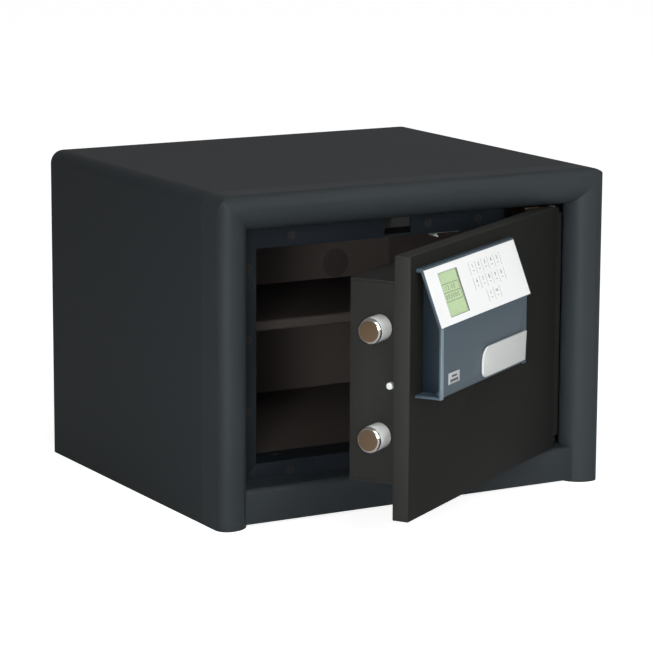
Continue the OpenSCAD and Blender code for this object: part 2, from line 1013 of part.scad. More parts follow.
// Bracket that carries the bolts' inner ends and the catch pin's tail
module bolt_guide() {
  x0 = case_x + 22;
  y0 = leaf_y1 + touch;
  y1 = bolt_y + bolt_d / 2 + 6;
  z = bolt_pitch / 2 + bolt_d / 2 + 6;
  color([0.62, 0.63, 0.64])
    in_door()
      difference() {
        union() {
          block([x0, y0, case_z - z], [x0 + 4, y1, case_z + z]);
          block([x0, y0, case_z - z], [x0 + 16, y0 + 2.5, case_z + z]);
        }
        for (s = [-1, 1])
          rod_x(bolt_d / 2 + run_fit, x0 - cut, x0 + 4 + cut, bolt_y, case_z + s * bolt_pitch / 2);
        for (s = [-1, 1])
          block([x0 + 4, y0 - cut, case_z + s * bolt_pitch / 2 - bolt_d / 2 - 1],
            [x0 + 17, y0 + 4, case_z + s * bolt_pitch / 2 + bolt_d / 2 + 1]);
        rod_x(catch_d / 2 + run_fit, x0 - cut, x0 + 4 + cut, face_y + catch_back, catch_z);
      }
}

catch_z = case_z - 1.6;

module catch_pin() {
  color([0.72, 0.7, 0.66])
    in_door()
      union() {
        rod_x(catch_d / 2, case_x - catch_out, case_x + 32, face_y + catch_back, catch_z);
        rod_x(catch_d / 2 + 1.5, case_x + case_t + touch, case_x + case_t + 2,
          face_y + catch_back, catch_z);
      }
}

module lock_bolts() {
  c = 2;
  color([0.85, 0.85, 0.87])
    in_door()
      for (s = [-1, 1])
        translate([bolt_x0, bolt_y, case_z + s * bolt_pitch / 2])
          rotate([0, 90, 0])
            union() {
              cylinder(r1 = bolt_d / 2 - c, r2 = bolt_d / 2, h = c);
              translate([0, 0, c])
                cylinder(r = bolt_d / 2, h = bolt_l - c);
            }
}

// Upright that joins the bolts, with the arm that the crank drives
module bolt_bar() {
  z = bolt_pitch / 2 + bolt_d / 2;
  slot_x = shaft_x - bolt_throw / 2;
  slot_z0 = shaft_z - crank_r - crank_slot / 2;
  slot_z1 = shaft_z - crank_r * cos(lever_turn / 2) + crank_slot / 2;
  color([0.6, 0.61, 0.62])
    in_door()
      difference() {
        union() {
          block([bolt_x1 + touch, bolt_y - bar_t / 2, case_z - z],
            [bolt_x1 + bar_w, bolt_y + bar_t / 2, case_z + z]);
          block([bolt_x1 + bar_w - 1, arm_y, arm_z0],
            [slot_x + crank_slot / 2 + 8, arm_y + arm_t, arm_z1]);
        }
        block([slot_x - crank_slot / 2, arm_y - cut, slot_z0],
          [slot_x + crank_slot / 2, arm_y + arm_t + cut, slot_z1]);
        block([coil_x - plunger_d / 2 - 0.5, arm_y - cut, arm_z1 - plunger_throw],
          [coil_x + plunger_d / 2 + 0.5, arm_y + arm_t + cut, arm_z1 + cut]);
      }
}

// ---- lever and crank ----

module shaft_bush() {
  color([0.68, 0.58, 0.35])
    in_door()
      difference() {
        rod_y(shaft_d / 2 + 3, shaft_x, shaft_z, face_y + touch, leaf_y1 + 8);
        rod_y(shaft_d / 2 + run_fit, shaft_x, shaft_z, face_y - cut, leaf_y1 + 8 + cut);
      }
}

module lever_shaft() {
  color([0.6, 0.6, 0.62])
    in_door()
      rod_y(shaft_d / 2, shaft_x, shaft_z, lever_y0 + lever_skin, crank_y + crank_t);
}

module crank() {
  a = lever_turn / 2;
  color([0.6, 0.61, 0.62])
    in_door()
      difference() {
        union() {
          rod_y(12, shaft_x, shaft_z, crank_y, crank_y + crank_t);
          translate([shaft_x, crank_y, shaft_z])
            rotate([0, a, 0])
              translate([-5, 0, -crank_r])
                cube([10, crank_t, crank_r]);
          rod_y(6.5, shaft_x - crank_r * sin(a), shaft_z - crank_r * cos(a), crank_y, crank_y + crank_t);
          rod_y(crank_pin_d / 2, shaft_x - crank_r * sin(a), shaft_z - crank_r * cos(a),
            crank_y, arm_y + arm_t + 1);
        }
        rod_y(shaft_d / 2 + press_fit, shaft_x, shaft_z, crank_y - cut, crank_y + crank_t + cut);
      }
}

// Lever plate: its free end has a broad upper corner and a small lower one, and its other
// end leans in a little towards the foot
module lever_outline() {
  x1 = lever_in;
  x0 = lever_in - lever_l;
  h = lever_w / 2;
  big = 14.5;
  small = 7;
  lean = 3;
  polygon([[x0 + small, -h], [x1 - lean, -h], [x1, h], [x0 + big, h], [x0, h - big],
    [x0, -h + small]]);
  intersection() {
    translate([x0 + big, h - big])
      circle(r = big);
    translate([x0, h - 1.5 * big])
      square(1.5 * big);
  }
  translate([x0 + small, -h + small])
    circle(r = small);
}

module lever() {
  color([0.78, 0.79, 0.79])
    in_door()
      translate([shaft_x, lever_y0 + lever_t, shaft_z])
        rotate([90, 0, 0])
          difference() {
            linear_extrude(lever_t)
              lever_outline();
            translate([0, 0, -cut])
              cylinder(r = shaft_d / 2 + press_fit, h = lever_t - lever_skin + cut);
          }
}

// ---- solenoid ----

module solenoid_body() {
  z0 = arm_z1 + plunger_gap + 6;
  s = 20;
  color([0.25, 0.25, 0.27])
    in_door()
      difference() {
        union() {
          block([coil_x - s / 2, coil_y - s / 2, z0], [coil_x + s / 2, coil_y + s / 2, z0 + 28]);
          block([coil_x - s / 2, leaf_y1 + touch, z0], [coil_x + s / 2, coil_y - s / 2 + 1, z0 + 2]);
        }
        translate([coil_x, coil_y, z0 - cut])
          cylinder(r = plunger_d / 2 + run_fit, h = 24 + cut);
      }
}

module solenoid_plunger() {
  color([0.75, 0.75, 0.76])
    in_door()
      translate([coil_x, coil_y, arm_z1 + plunger_gap])
        cylinder(r = plunger_d / 2, h = 28);
}

// ---- keypad housing ----

// Outline of the housing seen from the +X side: Y towards the door, Z up, with 0 at the
// door face and at the housing's foot. Its foot may be notched along the front.
module pad_outline(notch) {
  z0 = slope_z0 - pad_z0;
  z1 = slope_z1 - pad_z0;
  bevel = 1;
  difference() {
    polygon([[0, 0], [-pad_d, 0], [-pad_d, z0], [-pad_top_d, z1], [-pad_top_d + bevel, pad_h],
      [0, pad_h]]);
    translate([-pad_d - cut, -cut])
      square([pad_t + 1.5 + cut, notch + cut]);
  }
}

// Space inside the housing's shell, which leaves a ledge behind the panel
module pad_inside(wall, notch) {
  z1 = slope_z1 - pad_z0;
  deep = panel_t + ledge_t + wall - pad_t;
  y0 = -pad_d + wall;
  y1 = -pad_top_d + deep / cos(slope_a) - wall * tan(slope_a);
  difference() {
    polygon([[cut, wall], [y0, wall], [y0, z1 - wall - (y1 - y0) / tan(slope_a)],
      [y1, z1 - wall], [cut, z1 - wall]]);
    translate([y0 - cut, -cut])
      square([pad_t + 1.5 + cut, notch + wall + cut]);
  }
}

module at_pad() {
  translate([0, face_y - touch, pad_z0])
    children();
}

// Puts X along the row from the door's latch edge, Y down the slope and Z out of the panel
module on_slope(z_up) {
  translate([door_x0, face_y - touch - pad_top_d, slope_z1])
    rotate([-slope_a, 0, 0])
      rotate([90, 0, 0])
        translate([0, 0, z_up])
          mirror([0, 1, 0])
            children();
}

// Centre of each key: distance from the door's latch edge and distance down the slope
function key_at(n) =
  n < 5 ? [key_x + n * key_pitch, key_v] :
  n < 10 ? [key_x + (n - 5) * key_pitch, key_v + key_row] :
  [key_x + (n - 8.5) * key_pitch, key_v + 2 * key_row];

module at_key(n, z_up) {
  on_slope(z_up)
    translate([key_at(n)[0], key_at(n)[1], 0])
      children();
}

module key_holes() {
  for (n = [0:11])
    at_key(n, -8)
      translate([-key_w / 2 - key_gap, -key_h / 2 - key_gap, 0])
        cube([key_w + 2 * key_gap, key_h + 2 * key_gap, 12]);
}

module lcd_block(inset, z0, z1) {
  on_slope(z0)
    translate([lcd_x + inset, lcd_v + inset, 0])
      cube([lcd_w - 2 * inset, lcd_h - 2 * inset, z1 - z0]);
}

// The panel, grown by a gap and run on above the slope by an overrun
module panel_block(g, over) {
  e = panel_rim - g;
  on_slope(-panel_t - g)
    translate([pad_inset + e, e, 0])
      cube([pad_w + pad_over - 2 * e, slope_l - 2 * e, panel_t + g + over]);
}

// A chamfer that leaves a slanted band at the left end of the lower face, for X from 0
module band_cut() {
  slant = 0.8;
  translate([0, 0, -cut])
    linear_extrude(pad_low_h + cut)
      polygon([[-cut, -pad_d - cut], [pad_band, -pad_d - cut], [pad_band, -pad_d],
        [0, -pad_d + slant], [-cut, -pad_d + slant]]);
}

// Folded shell, open at both sides, whose sloping face runs on at the hinge side
module housing_front() {
  bands = [[pad_x, pad_x + pad_band, 0], [pad_x + pad_band, pad_x1 - pad_band, pad_notch],
    [pad_x1 - pad_band, pad_x1, 0]];
  color([0.34, 0.42, 0.48])
    in_door()
      difference() {
        at_pad()
          union() {
            for (b = bands)
              along_x(b[0], b[1])
                difference() {
                  pad_outline(b[2]);
                  pad_inside(pad_t, b[2]);
                }
            along_x(pad_x1, pad_x1 + pad_over)
              intersection() {
                difference() {
                  pad_outline(0);
                  pad_inside(pad_t, 0);
                }
                translate([-pad_d - cut, pad_low_h])
                  square([pad_d + cut, pad_h]);
              }
          }
        at_pad() {
          translate([pad_x, 0, 0])
            band_cut();
          translate([pad_x1, 0, 0])
            mirror([1, 0, 0])
              band_cut();
        }
        panel_block(touch, cut);
        on_slope(-9)
          translate([pad_inset + ledge_w, ledge_end, 0])
            cube([pad_w - 2 * ledge_w, slope_l - 2 * ledge_end, 12]);
        rod_y(shaft_d / 2 + loose_fit, shaft_x, shaft_z, face_y - pad_d - 4, face_y);
      }
}

module housing_base() {
  x0 = pad_x + pad_side_in;
  x1 = pad_x1 - pad_side_in;
  t = 2;
  color([0.12, 0.18, 0.24])
    in_door()
      at_pad()
        difference() {
          along_x(x0, x1)
            intersection() {
              pad_inside(pad_t + touch, pad_notch);
              translate([-pad_d, 0])
                square([pad_d - touch, pad_h]);
            }
          along_x(x0 + t, x1 - t)
            translate([-pad_d, -cut])
              square([pad_d - t, pad_h + 2 * cut]);
          translate([0, 0, -pad_z0])
            rod_y(shaft_d / 2 + loose_fit, shaft_x, shaft_z, -pad_d, cut);
        }
}

module control_panel() {
  color([0.92, 0.92, 0.93])
    in_door()
      difference() {
        panel_block(0, 0);
        key_holes();
        lcd_block(0, -9, 3);
      }
}

module lcd_window() {
  color([0.75, 0.85, 0.65])
    in_door()
      lcd_block(0.15, -lcd_set - lcd_glass_t, -lcd_set);
}

module lcd_module() {
  top = -lcd_set - lcd_glass_t - 0.2;
  color([0.7, 0.8, 0.55])
    in_door()
      lcd_block(0.15, top - 3, top);
}

module key_board() {
  t = 1.6;
  z = key_t + key_travel + 0.8 + t;
  color([0.1, 0.32, 0.2])
    in_door()
      on_slope(-z)
        translate([key_x - key_pitch, 5.5, 0])
          cube([6 * key_pitch, 2 * key_row + 15, t]);
}

module key_cap(n) {
  color([0.93, 0.93, 0.94])
    in_door()
      at_key(n, key_proud - key_t)
        translate([-key_w / 2, -key_h / 2, 0])
          cube([key_w, key_h, key_t]);
}

cell_r = 7.1;
cell_l = 49;
tray_x = pad_x + pad_side_in + 5;

module battery_tray() {
  t = 1.2;
  x1 = tray_x + 2 * cell_l + 6;
  z0 = pad_z0 + pad_t + pad_notch + 3;
  z1 = z0 + 4 * cell_r + 5;
  y0 = face_y - 20;
  y1 = face_y - 2.4;
  color([0.15, 0.15, 0.16])
    in_door()
      difference() {
        block([tray_x, y0, z0], [x1, y1, z1]);
        block([tray_x + t, y0 - cut, z0 + t], [x1 - t, y1 - t, z1 - t]);
      }
}

module batteries() {
  y = face_y - 2.4 - 1.4 - cell_r;
  color([0.75, 0.55, 0.2])
    in_door()
      for (i = [0, 1], j = [0, 1])
        rod_x(cell_r, tray_x + 2 + i * (cell_l + 1), tray_x + 2 + i * (cell_l + 1) + cell_l,
          y, pad_z0 + pad_t + pad_notch + 4.6 + cell_r + j * (2 * cell_r + 0.6));
}

module badge() {
  w = 23;
  h = 10.3;
  y = face_y - touch - pad_d;
  color([0.75, 0.77, 0.78])
    in_door()
      translate([pad_x + 15.4, y, pad_z0 + 11.9])
        rotate([90, 0, 0])
          linear_extrude(0.5)
            square([w, h]);
}

outer_shell();
front_surround();
front_sill();
base_pan();
rear_panel();
filler_slabs();
inner_liner();
jamb_top();
jamb_bottom();
jamb_left();
jamb_right();
frame_screws();
shelf();
shelf_supports();
anchor_sleeves();
anchor_caps();
hinge_brackets();
header_clip();
door_skin();
door_core();
door_back_plate();
hinge_rail();
hinge_pins();
case_cover();
case_caps();
case_screws();
bolt_bushes();
bolt_guide();
shaft_bush();
solenoid_body();
housing_base();
housing_front();
control_panel();
lcd_window();
lcd_module();
key_board();
battery_tray();
batteries();
badge();
lock_bolts();
bolt_bar();
lever();
lever_shaft();
crank();
solenoid_plunger();
catch_pin();
key_cap(0);  // key_1
key_cap(1);  // key_2
key_cap(2);  // key_3
key_cap(3);  // key_4
key_cap(4);  // key_5
key_cap(5);  // key_6
key_cap(6);  // key_7
key_cap(7);  // key_8
key_cap(8);  // key_9
key_cap(9);  // key_0
key_cap(10);  // key_clear
key_cap(11);  // key_enter
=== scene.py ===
import json
import math

import bmesh
import bpy
from mathutils import Matrix, Vector


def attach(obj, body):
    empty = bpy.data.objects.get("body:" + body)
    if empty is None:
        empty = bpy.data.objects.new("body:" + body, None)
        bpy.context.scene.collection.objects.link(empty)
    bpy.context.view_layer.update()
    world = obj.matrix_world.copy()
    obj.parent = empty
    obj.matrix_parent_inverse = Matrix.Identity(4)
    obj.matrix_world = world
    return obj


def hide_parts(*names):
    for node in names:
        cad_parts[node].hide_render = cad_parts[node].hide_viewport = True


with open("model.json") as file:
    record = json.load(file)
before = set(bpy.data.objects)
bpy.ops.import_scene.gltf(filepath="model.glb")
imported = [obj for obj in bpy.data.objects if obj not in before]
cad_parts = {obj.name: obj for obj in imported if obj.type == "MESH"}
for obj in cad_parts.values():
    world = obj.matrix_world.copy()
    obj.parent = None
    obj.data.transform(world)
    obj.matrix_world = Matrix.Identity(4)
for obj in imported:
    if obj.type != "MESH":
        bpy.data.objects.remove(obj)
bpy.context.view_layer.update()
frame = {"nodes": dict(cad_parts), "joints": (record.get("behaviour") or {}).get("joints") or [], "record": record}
nodes = frame["nodes"]
joints = {j["name"]: j for j in frame["joints"]}
MM = 0.001

# ---------------------------------------------------------------------------
# Directions and places, read from the frame

UP = Vector((0, 0, 1))
OUT = Vector(joints["lever_turn"]["axis"]).normalized()       # out of the door's face
ACROSS = Vector(joints["bolt_slide"]["axis"]).normalized()    # from latch edge to hinge edge
SLOPE_OUT = -Vector(joints["key_1_press"]["axis"]).normalized()
SLOPE_UP = SLOPE_OUT.cross(ACROSS).normalized()
if SLOPE_UP.z < 0:
    SLOPE_UP = -SLOPE_UP


def corners(node):
    """Every vertex of a node."""
    return [v.co for v in nodes[node].data.vertices]


def span(node, axis):
    """Lowest and highest place of a node along an axis."""
    reach = [co.dot(axis) for co in corners(node)]
    return min(reach), max(reach)


def middle(node, axis):
    low, high = span(node, axis)
    return (low + high) / 2


def at(a, b, c, first=ACROSS, second=OUT, third=UP):
    """The point with the given reaches along three square axes."""
    return first * a + second * b + third * c


def axes_matrix(x, y, z, place):
    m = Matrix((x, y, z)).transposed().to_4x4()
    m.translation = place
    return m


# ---------------------------------------------------------------------------
# Camera, stage and light

CAMERA_PLACE = Vector((-1.48233, -2.59391, 0.73193))
CAMERA_YAW = 0.520789
CAMERA_PITCH = 0.193575
CAMERA_ROLL = 0.0048365
FOCAL_RATIO = 2966.61 / 653     # focal length over the picture's width
SENSOR_WIDTH = 36


def make_camera():
    cam = bpy.data.cameras.new("camera")
    cam.sensor_width = SENSOR_WIDTH
    cam.lens = FOCAL_RATIO * cam.sensor_width
    obj = bpy.data.objects.new("camera", cam)
    bpy.context.scene.collection.objects.link(obj)
    cos_p, sin_p = math.cos(CAMERA_PITCH), math.sin(CAMERA_PITCH)
    forward = Vector((math.sin(CAMERA_YAW) * cos_p, math.cos(CAMERA_YAW) * cos_p, -sin_p))
    right = Vector((math.cos(CAMERA_YAW), -math.sin(CAMERA_YAW), 0))
    up = right.cross(forward)
    cos_r, sin_r = math.cos(CAMERA_ROLL), math.sin(CAMERA_ROLL)
    x = right * cos_r + up * sin_r
    y = up * cos_r - right * sin_r
    obj.matrix_world = axes_matrix(x, y, -forward, CAMERA_PLACE)
    bpy.context.scene.camera = obj


def area_light(name, place, target, size, power, spread):
    light = bpy.data.lights.new(name, "AREA")
    light.shape = "RECTANGLE"
    light.size, light.size_y = size
    light.energy = power
    light.spread = spread
    obj = bpy.data.objects.new(name, light)
    obj.location = place
    obj.rotation_euler = (Vector(target) - Vector(place)).to_track_quat("-Z", "Y").to_euler()
    bpy.context.scene.collection.objects.link(obj)


# Name, place, target, size, watts and spread
LIGHTS = (
    ("key_light", (-0.6, -2.2, 2.4), (0, -0.1, 0.15), (1.8, 1.2), 26, math.pi),
    ("front_light", (0.3, -3.2, 1.2), (0, -0.2, 0.15), (1.4, 1.2), 36, math.pi),
    ("fill_light", (-1.7, -2.8, 0.55), (0, 0, 0.15), (0.9, 0.7), 20, math.pi),
    ("roll_light", (1.4, -0.9, 2.6), (0, -0.2, 0.3), (1.6, 0.5), 8, math.pi),
    ("edge_light", (-1.24, -1.71, 0.43), (-0.12, -0.44, 0.17), (0.3, 0.3), 0.55, 0.45),
)
FLOOR_SIZE = 14
FLOOR_TONE = 0.75
FLOOR_ROUGHNESS = 0.9
FLOOR_SPECULAR = 0.1
FLOOR_GLOW = 0.78
WORLD_LIGHT = 0.26


def make_stage():
    bpy.ops.mesh.primitive_plane_add(size=FLOOR_SIZE)
    floor = bpy.context.object
    floor.name = "floor"
    mat = bpy.data.materials.new("floor_white")
    mat.use_nodes = True
    n, l = mat.node_tree.nodes, mat.node_tree.links
    shader = n["Principled BSDF"]
    shader.inputs["Base Color"].default_value = (FLOOR_TONE, FLOOR_TONE, FLOOR_TONE, 1)
    shader.inputs["Roughness"].default_value = FLOOR_ROUGHNESS
    shader.inputs["Specular IOR Level"].default_value = FLOOR_SPECULAR
    shader.inputs["Emission Color"].default_value = (1, 1, 1, 1)
    seen = n.new("ShaderNodeLightPath")
    glow = n.new("ShaderNodeMath")
    glow.operation = "MULTIPLY"
    glow.inputs[1].default_value = FLOOR_GLOW
    l.new(seen.outputs["Is Camera Ray"], glow.inputs[0])
    l.new(glow.outputs[0], shader.inputs["Emission Strength"])
    floor.data.materials.append(mat)

    world = bpy.data.worlds.new("studio")
    bpy.context.scene.world = world
    world.use_nodes = True
    n, l = world.node_tree.nodes, world.node_tree.links
    back = n["Background"]
    seen = n.new("ShaderNodeLightPath")
    strength = n.new("ShaderNodeMapRange")
    strength.inputs["To Min"].default_value = WORLD_LIGHT
    strength.inputs["To Max"].default_value = 1.0
    l.new(seen.outputs["Is Camera Ray"], strength.inputs["Value"])
    l.new(strength.outputs["Result"], back.inputs["Strength"])
    back.inputs["Color"].default_value = (1, 1, 1, 1)

    for light in LIGHTS:
        area_light(*light)
    bpy.context.scene.view_settings.view_transform = "Standard"


make_camera()
make_stage()

# ---------------------------------------------------------------------------
# Shader groups


def new_group(name, inputs, outputs):
    group = bpy.data.node_groups.new(name, "ShaderNodeTree")
    for label, kind, value in inputs:
        item = group.interface.new_socket(label, in_out="INPUT", socket_type=kind)
        item.default_value = value
    for label, kind in outputs:
        group.interface.new_socket(label, in_out="OUTPUT", socket_type=kind)
    start = group.nodes.new("NodeGroupInput")
    end = group.nodes.new("NodeGroupOutput")
    return group, start, end


PEBBLE_DETAIL = 3
DRIFT_SCALE = 7
DRIFT_DETAIL = 2


def grain_group():
    """Sprayed coat: a fine pebbled height and a slow change in gloss."""
    group, start, end = new_group(
        "coat_grain",
        [("Scale", "NodeSocketFloat", 900.0), ("Drift", "NodeSocketFloat", 0.05),
         ("Roughness", "NodeSocketFloat", 0.5)],
        [("Height", "NodeSocketFloat"), ("Roughness", "NodeSocketFloat"),
         ("Tone", "NodeSocketFloat")])
    n, l = group.nodes, group.links
    place = n.new("ShaderNodeTexCoord")
    pebbles = n.new("ShaderNodeTexNoise")
    pebbles.inputs["Detail"].default_value = PEBBLE_DETAIL
    l.new(place.outputs["Object"], pebbles.inputs["Vector"])
    l.new(start.outputs["Scale"], pebbles.inputs["Scale"])
    slow = n.new("ShaderNodeTexNoise")
    slow.inputs["Scale"].default_value = DRIFT_SCALE
    slow.inputs["Detail"].default_value = DRIFT_DETAIL
    l.new(place.outputs["Object"], slow.inputs["Vector"])
    centred = n.new("ShaderNodeMath")
    centred.operation = "SUBTRACT"
    centred.inputs[1].default_value = 0.5
    l.new(slow.outputs["Fac"], centred.inputs[0])
    scaled = n.new("ShaderNodeMath")
    scaled.operation = "MULTIPLY"
    l.new(centred.outputs[0], scaled.inputs[0])
    l.new(start.outputs["Drift"], scaled.inputs[1])
    rough = n.new("ShaderNodeMath")
    rough.operation = "ADD"
    l.new(scaled.outputs[0], rough.inputs[0])
    l.new(start.outputs["Roughness"], rough.inputs[1])
    l.new(pebbles.outputs["Fac"], end.inputs["Height"])
    l.new(rough.outputs[0], end.inputs["Roughness"])
    l.new(slow.outputs["Fac"], end.inputs["Tone"])
    return group


GRAIN = grain_group()

# ---------------------------------------------------------------------------
# Materials


def new_material(name):
    mat = bpy.data.materials.new(name)
    mat.use_nodes = True
    return mat, mat.node_tree.nodes, mat.node_tree.links, mat.node_tree.nodes["Principled BSDF"]


def coated(name, colour, rough, scale, depth, drift=0.06, tone=0.12, metallic=0.0, coat=0.0,
           specular=0.5):
    """A sprayed, moulded or cast surface with its grain and a slight change in tone."""
    mat, n, l, shader = new_material(name)
    grain = n.new("ShaderNodeGroup")
    grain.node_tree = GRAIN
    grain.inputs["Scale"].default_value = scale
    grain.inputs["Drift"].default_value = drift
    grain.inputs["Roughness"].default_value = rough
    mix = n.new("ShaderNodeMix")
    mix.data_type = "RGBA"
    mix.inputs["A"].default_value = (*(c * (1 - tone) for c in colour), 1)
    mix.inputs["B"].default_value = (*(c * (1 + tone) for c in colour), 1)
    l.new(grain.outputs["Tone"], mix.inputs["Factor"])
    l.new(mix.outputs["Result"], shader.inputs["Base Color"])
    l.new(grain.outputs["Roughness"], shader.inputs["Roughness"])
    bump = n.new("ShaderNodeBump")
    bump.inputs["Strength"].default_value = 1.0
    bump.inputs["Distance"].default_value = depth
    l.new(grain.outputs["Height"], bump.inputs["Height"])
    l.new(bump.outputs["Normal"], shader.inputs["Normal"])
    shader.inputs["Metallic"].default_value = metallic
    shader.inputs["Coat Weight"].default_value = coat
    shader.inputs["Specular IOR Level"].default_value = specular
    return mat


GLASS_ROUGHNESS = 0.08


def glass(name, colour, alpha):
    mat, _, _, shader = new_material(name)
    shader.inputs["Base Color"].default_value = (*colour, 1)
    shader.inputs["Roughness"].default_value = GLASS_ROUGHNESS
    shader.inputs["Alpha"].default_value = alpha
    return mat


# Base colour, roughness, grains per metre, grain depth in metres, then what differs
MATERIALS = {
    "shell_paint": coated("shell_paint", (0.023, 0.028, 0.0315), 0.5, 700, 0.00007, specular=0.12),
    "frame_paint": coated("frame_paint", (0.0085, 0.0115, 0.0150), 0.5, 700, 0.00006, specular=0.12),
    # Partly painted highlight: the shell's paint, a touch lighter, for the highlight along the rolled front.
    "surround_paint_and_highlight": coated("surround_paint_and_highlight", (0.025, 0.0305, 0.034), 0.48, 700, 0.00007,
                             specular=0.14),
    # Painted light: the leaf's turned edges get a lighter copy of the door's warm grey paint, for the light they
    # catch from the left.
    "door_edge_painted_light": coated("door_edge_painted_light", (0.022, 0.022, 0.020), 0.62, 420, 0.00024, tone=0.25,
                        specular=0.12),
    "door_paint": coated("door_paint", (0.0095, 0.0095, 0.0084), 0.62, 420, 0.00024, tone=0.25,
                         specular=0.12),
    # Partly painted light: the lock case's warm grey is set about twice as light as the door's face, for the light
    # its left-facing sides catch.
    "case_paint": coated("case_paint", (0.020, 0.020, 0.0188), 0.62, 420, 0.00024, tone=0.25,
                         specular=0.12),
    "interior_paint": coated("interior_paint", (0.054, 0.045, 0.041), 0.6, 600, 0.00008,
                             specular=0.2),
    "filler": coated("filler", (0.030, 0.030, 0.029), 0.9, 120, 0.0006),
    "zinc": coated("zinc", (0.80, 0.83, 0.81), 0.35, 260, 0.00003, tone=0.12, metallic=0.3),
    "bronze": coated("bronze", (0.16, 0.11, 0.07), 0.35, 260, 0.00003, metallic=1.0),
    # Painted reflection: near-white and not metallic, so the bolts' sides look as bright as the surroundings a
    # chrome bolt reflects.
    "bolt_chrome": coated("bolt_chrome", (0.95, 0.97, 0.95), 0.2, 200, 0.000006, tone=0.02,
                          metallic=0.0, coat=0.6),
    "bolt_end": coated("bolt_end", (0.20, 0.135, 0.085), 0.28, 350, 0.00002, tone=0.35,
                         metallic=0.85),
    "bolt_rim": coated("bolt_rim", (0.62, 0.60, 0.57), 0.16, 200, 0.000006, metallic=1.0),
    "cap_paint": coated("cap_paint", (0.034, 0.028, 0.026), 0.6, 600, 0.00008, specular=0.2),
    "brass_bush": coated("brass_bush", (0.6, 0.43, 0.17), 0.25, 300, 0.00002, metallic=1.0),
    "dark_plastic": coated("dark_plastic", (0.012, 0.012, 0.013), 0.5, 900, 0.00003),
    "housing_blue": coated("housing_blue", (0.042, 0.066, 0.084), 0.36, 900, 0.000012),
    "housing_dark": coated("housing_dark", (0.0035, 0.0100, 0.0165), 0.4, 900, 0.00002),
    "panel_white": coated("panel_white", (0.80, 0.81, 0.81), 0.4, 900, 0.00001, tone=0.01),
    "lcd_glass": glass("lcd_glass", (0.9, 0.95, 0.85), 0.1),
    "lcd_green": coated("lcd_green", (0.42, 0.59, 0.285), 0.5, 300, 0.00001, tone=0.03),
    "lever_grey": coated("lever_grey", (0.50, 0.52, 0.51), 0.38, 900, 0.000012, tone=0.03),
    "badge_silver": coated("badge_silver", (0.55, 0.57, 0.58), 0.35, 500, 0.00001, metallic=0.4),
    "circuit": coated("circuit", (0.02, 0.13, 0.06), 0.4, 200, 0.00002),
    "cell": coated("cell", (0.5, 0.3, 0.06), 0.3, 200, 0.00001),
    # Painted highlight: a paler copy of the housing's blue for the band on its slanted latch-side edge.
    "housing_band_highlight": coated("housing_band_highlight", (0.14, 0.19, 0.23), 0.3, 900, 0.000012),
    "print_grey": coated("print_grey", (0.030, 0.032, 0.034), 0.5, 900, 0.00001),
    "print_line": coated("print_line", (0.09, 0.09, 0.09), 0.5, 900, 0.00001),
    "lcd_ink": coated("lcd_ink", (0.02, 0.03, 0.015), 0.5, 900, 0.00001),
}
SLOT_OF = {s["node"]: s["material_slot"] for s in frame["record"]["subparts"]}
BODY_OF = {n: b for b, held in frame["record"]["behaviour"]["bodies"].items() for n in held}

for name, obj in nodes.items():
    obj.data.materials.clear()
    obj.data.materials.append(MATERIALS[SLOT_OF[name]])

# ---------------------------------------------------------------------------
# Mesh helpers


WELD_GAP = 2e-6
PRINT_WELD = 1e-6
FLAT_ANGLE = math.radians(0.3)
SMOOTH_ANGLE = math.radians(30)
BEVEL_ANGLE = math.radians(35)
BEVEL_STEPS = 3
BOLD = 0.02


def link(obj):
    bpy.context.scene.collection.objects.link(obj)
    return obj


def evaluated_mesh(obj):
    """A plain mesh of an object as its modifiers or its curve leave it."""
    bpy.context.view_layer.update()
    deps = bpy.context.evaluated_depsgraph_get()
    return bpy.data.meshes.new_from_object(obj.evaluated_get(deps))


def settle(obj):
    """Applies an object's modifiers, so that it is left as a plain mesh."""
    mesh = evaluated_mesh(obj)
    old = obj.data
    obj.modifiers.clear()
    obj.data = mesh
    mesh.name = obj.name
    bpy.data.meshes.remove(old)
    mesh.polygons.foreach_set("use_smooth", [True] * len(mesh.polygons))
    mesh.set_sharp_from_angle(angle=SMOOTH_ANGLE)


def merged_copy(node):
    """A welded copy of a node, with its flat faces whole."""
    bm = bmesh.new()
    bm.from_mesh(nodes[node].data)
    bmesh.ops.remove_doubles(bm, verts=bm.verts, dist=WELD_GAP)
    bmesh.ops.dissolve_limit(bm, angle_limit=FLAT_ANGLE, verts=bm.verts, edges=bm.edges)
    mesh = bpy.data.meshes.new(node + "_finished")
    bm.to_mesh(mesh)
    bm.free()
    mesh.materials.append(MATERIALS[SLOT_OF[node]])
    return mesh


def softened(node, width):
    """Stands for a node with the same shape, its sharp edges broken by a small radius."""
    obj = link(bpy.data.objects.new(node + "_finished", merged_copy(node)))
    bevel = obj.modifiers.new("edges", "BEVEL")
    bevel.width = width
    bevel.segments = BEVEL_STEPS
    bevel.limit_method = "ANGLE"
    bevel.angle_limit = BEVEL_ANGLE
    bevel.use_clamp_overlap = True
    settle(obj)
    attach(obj, BODY_OF[node])
    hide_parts(node)
    return obj


def finished_piece(name, mesh, body, material):
    """Places a new piece at the origin, on a body."""
    mesh.materials.clear()
    mesh.materials.append(MATERIALS[material])
    obj = link(bpy.data.objects.new(name, mesh))
    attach(obj, body)


def joined(parts, name):
    """One mesh from several bmesh-ready meshes, welded, with its faces turned outwards."""
    bm = bmesh.new()
    for part in parts:
        bm.from_mesh(part)
        bpy.data.meshes.remove(part)
    bmesh.ops.remove_doubles(bm, verts=bm.verts, dist=PRINT_WELD)
    bmesh.ops.recalc_face_normals(bm, faces=bm.faces)
    mesh = bpy.data.meshes.new(name)
    bm.to_mesh(mesh)
    bm.free()
    return mesh


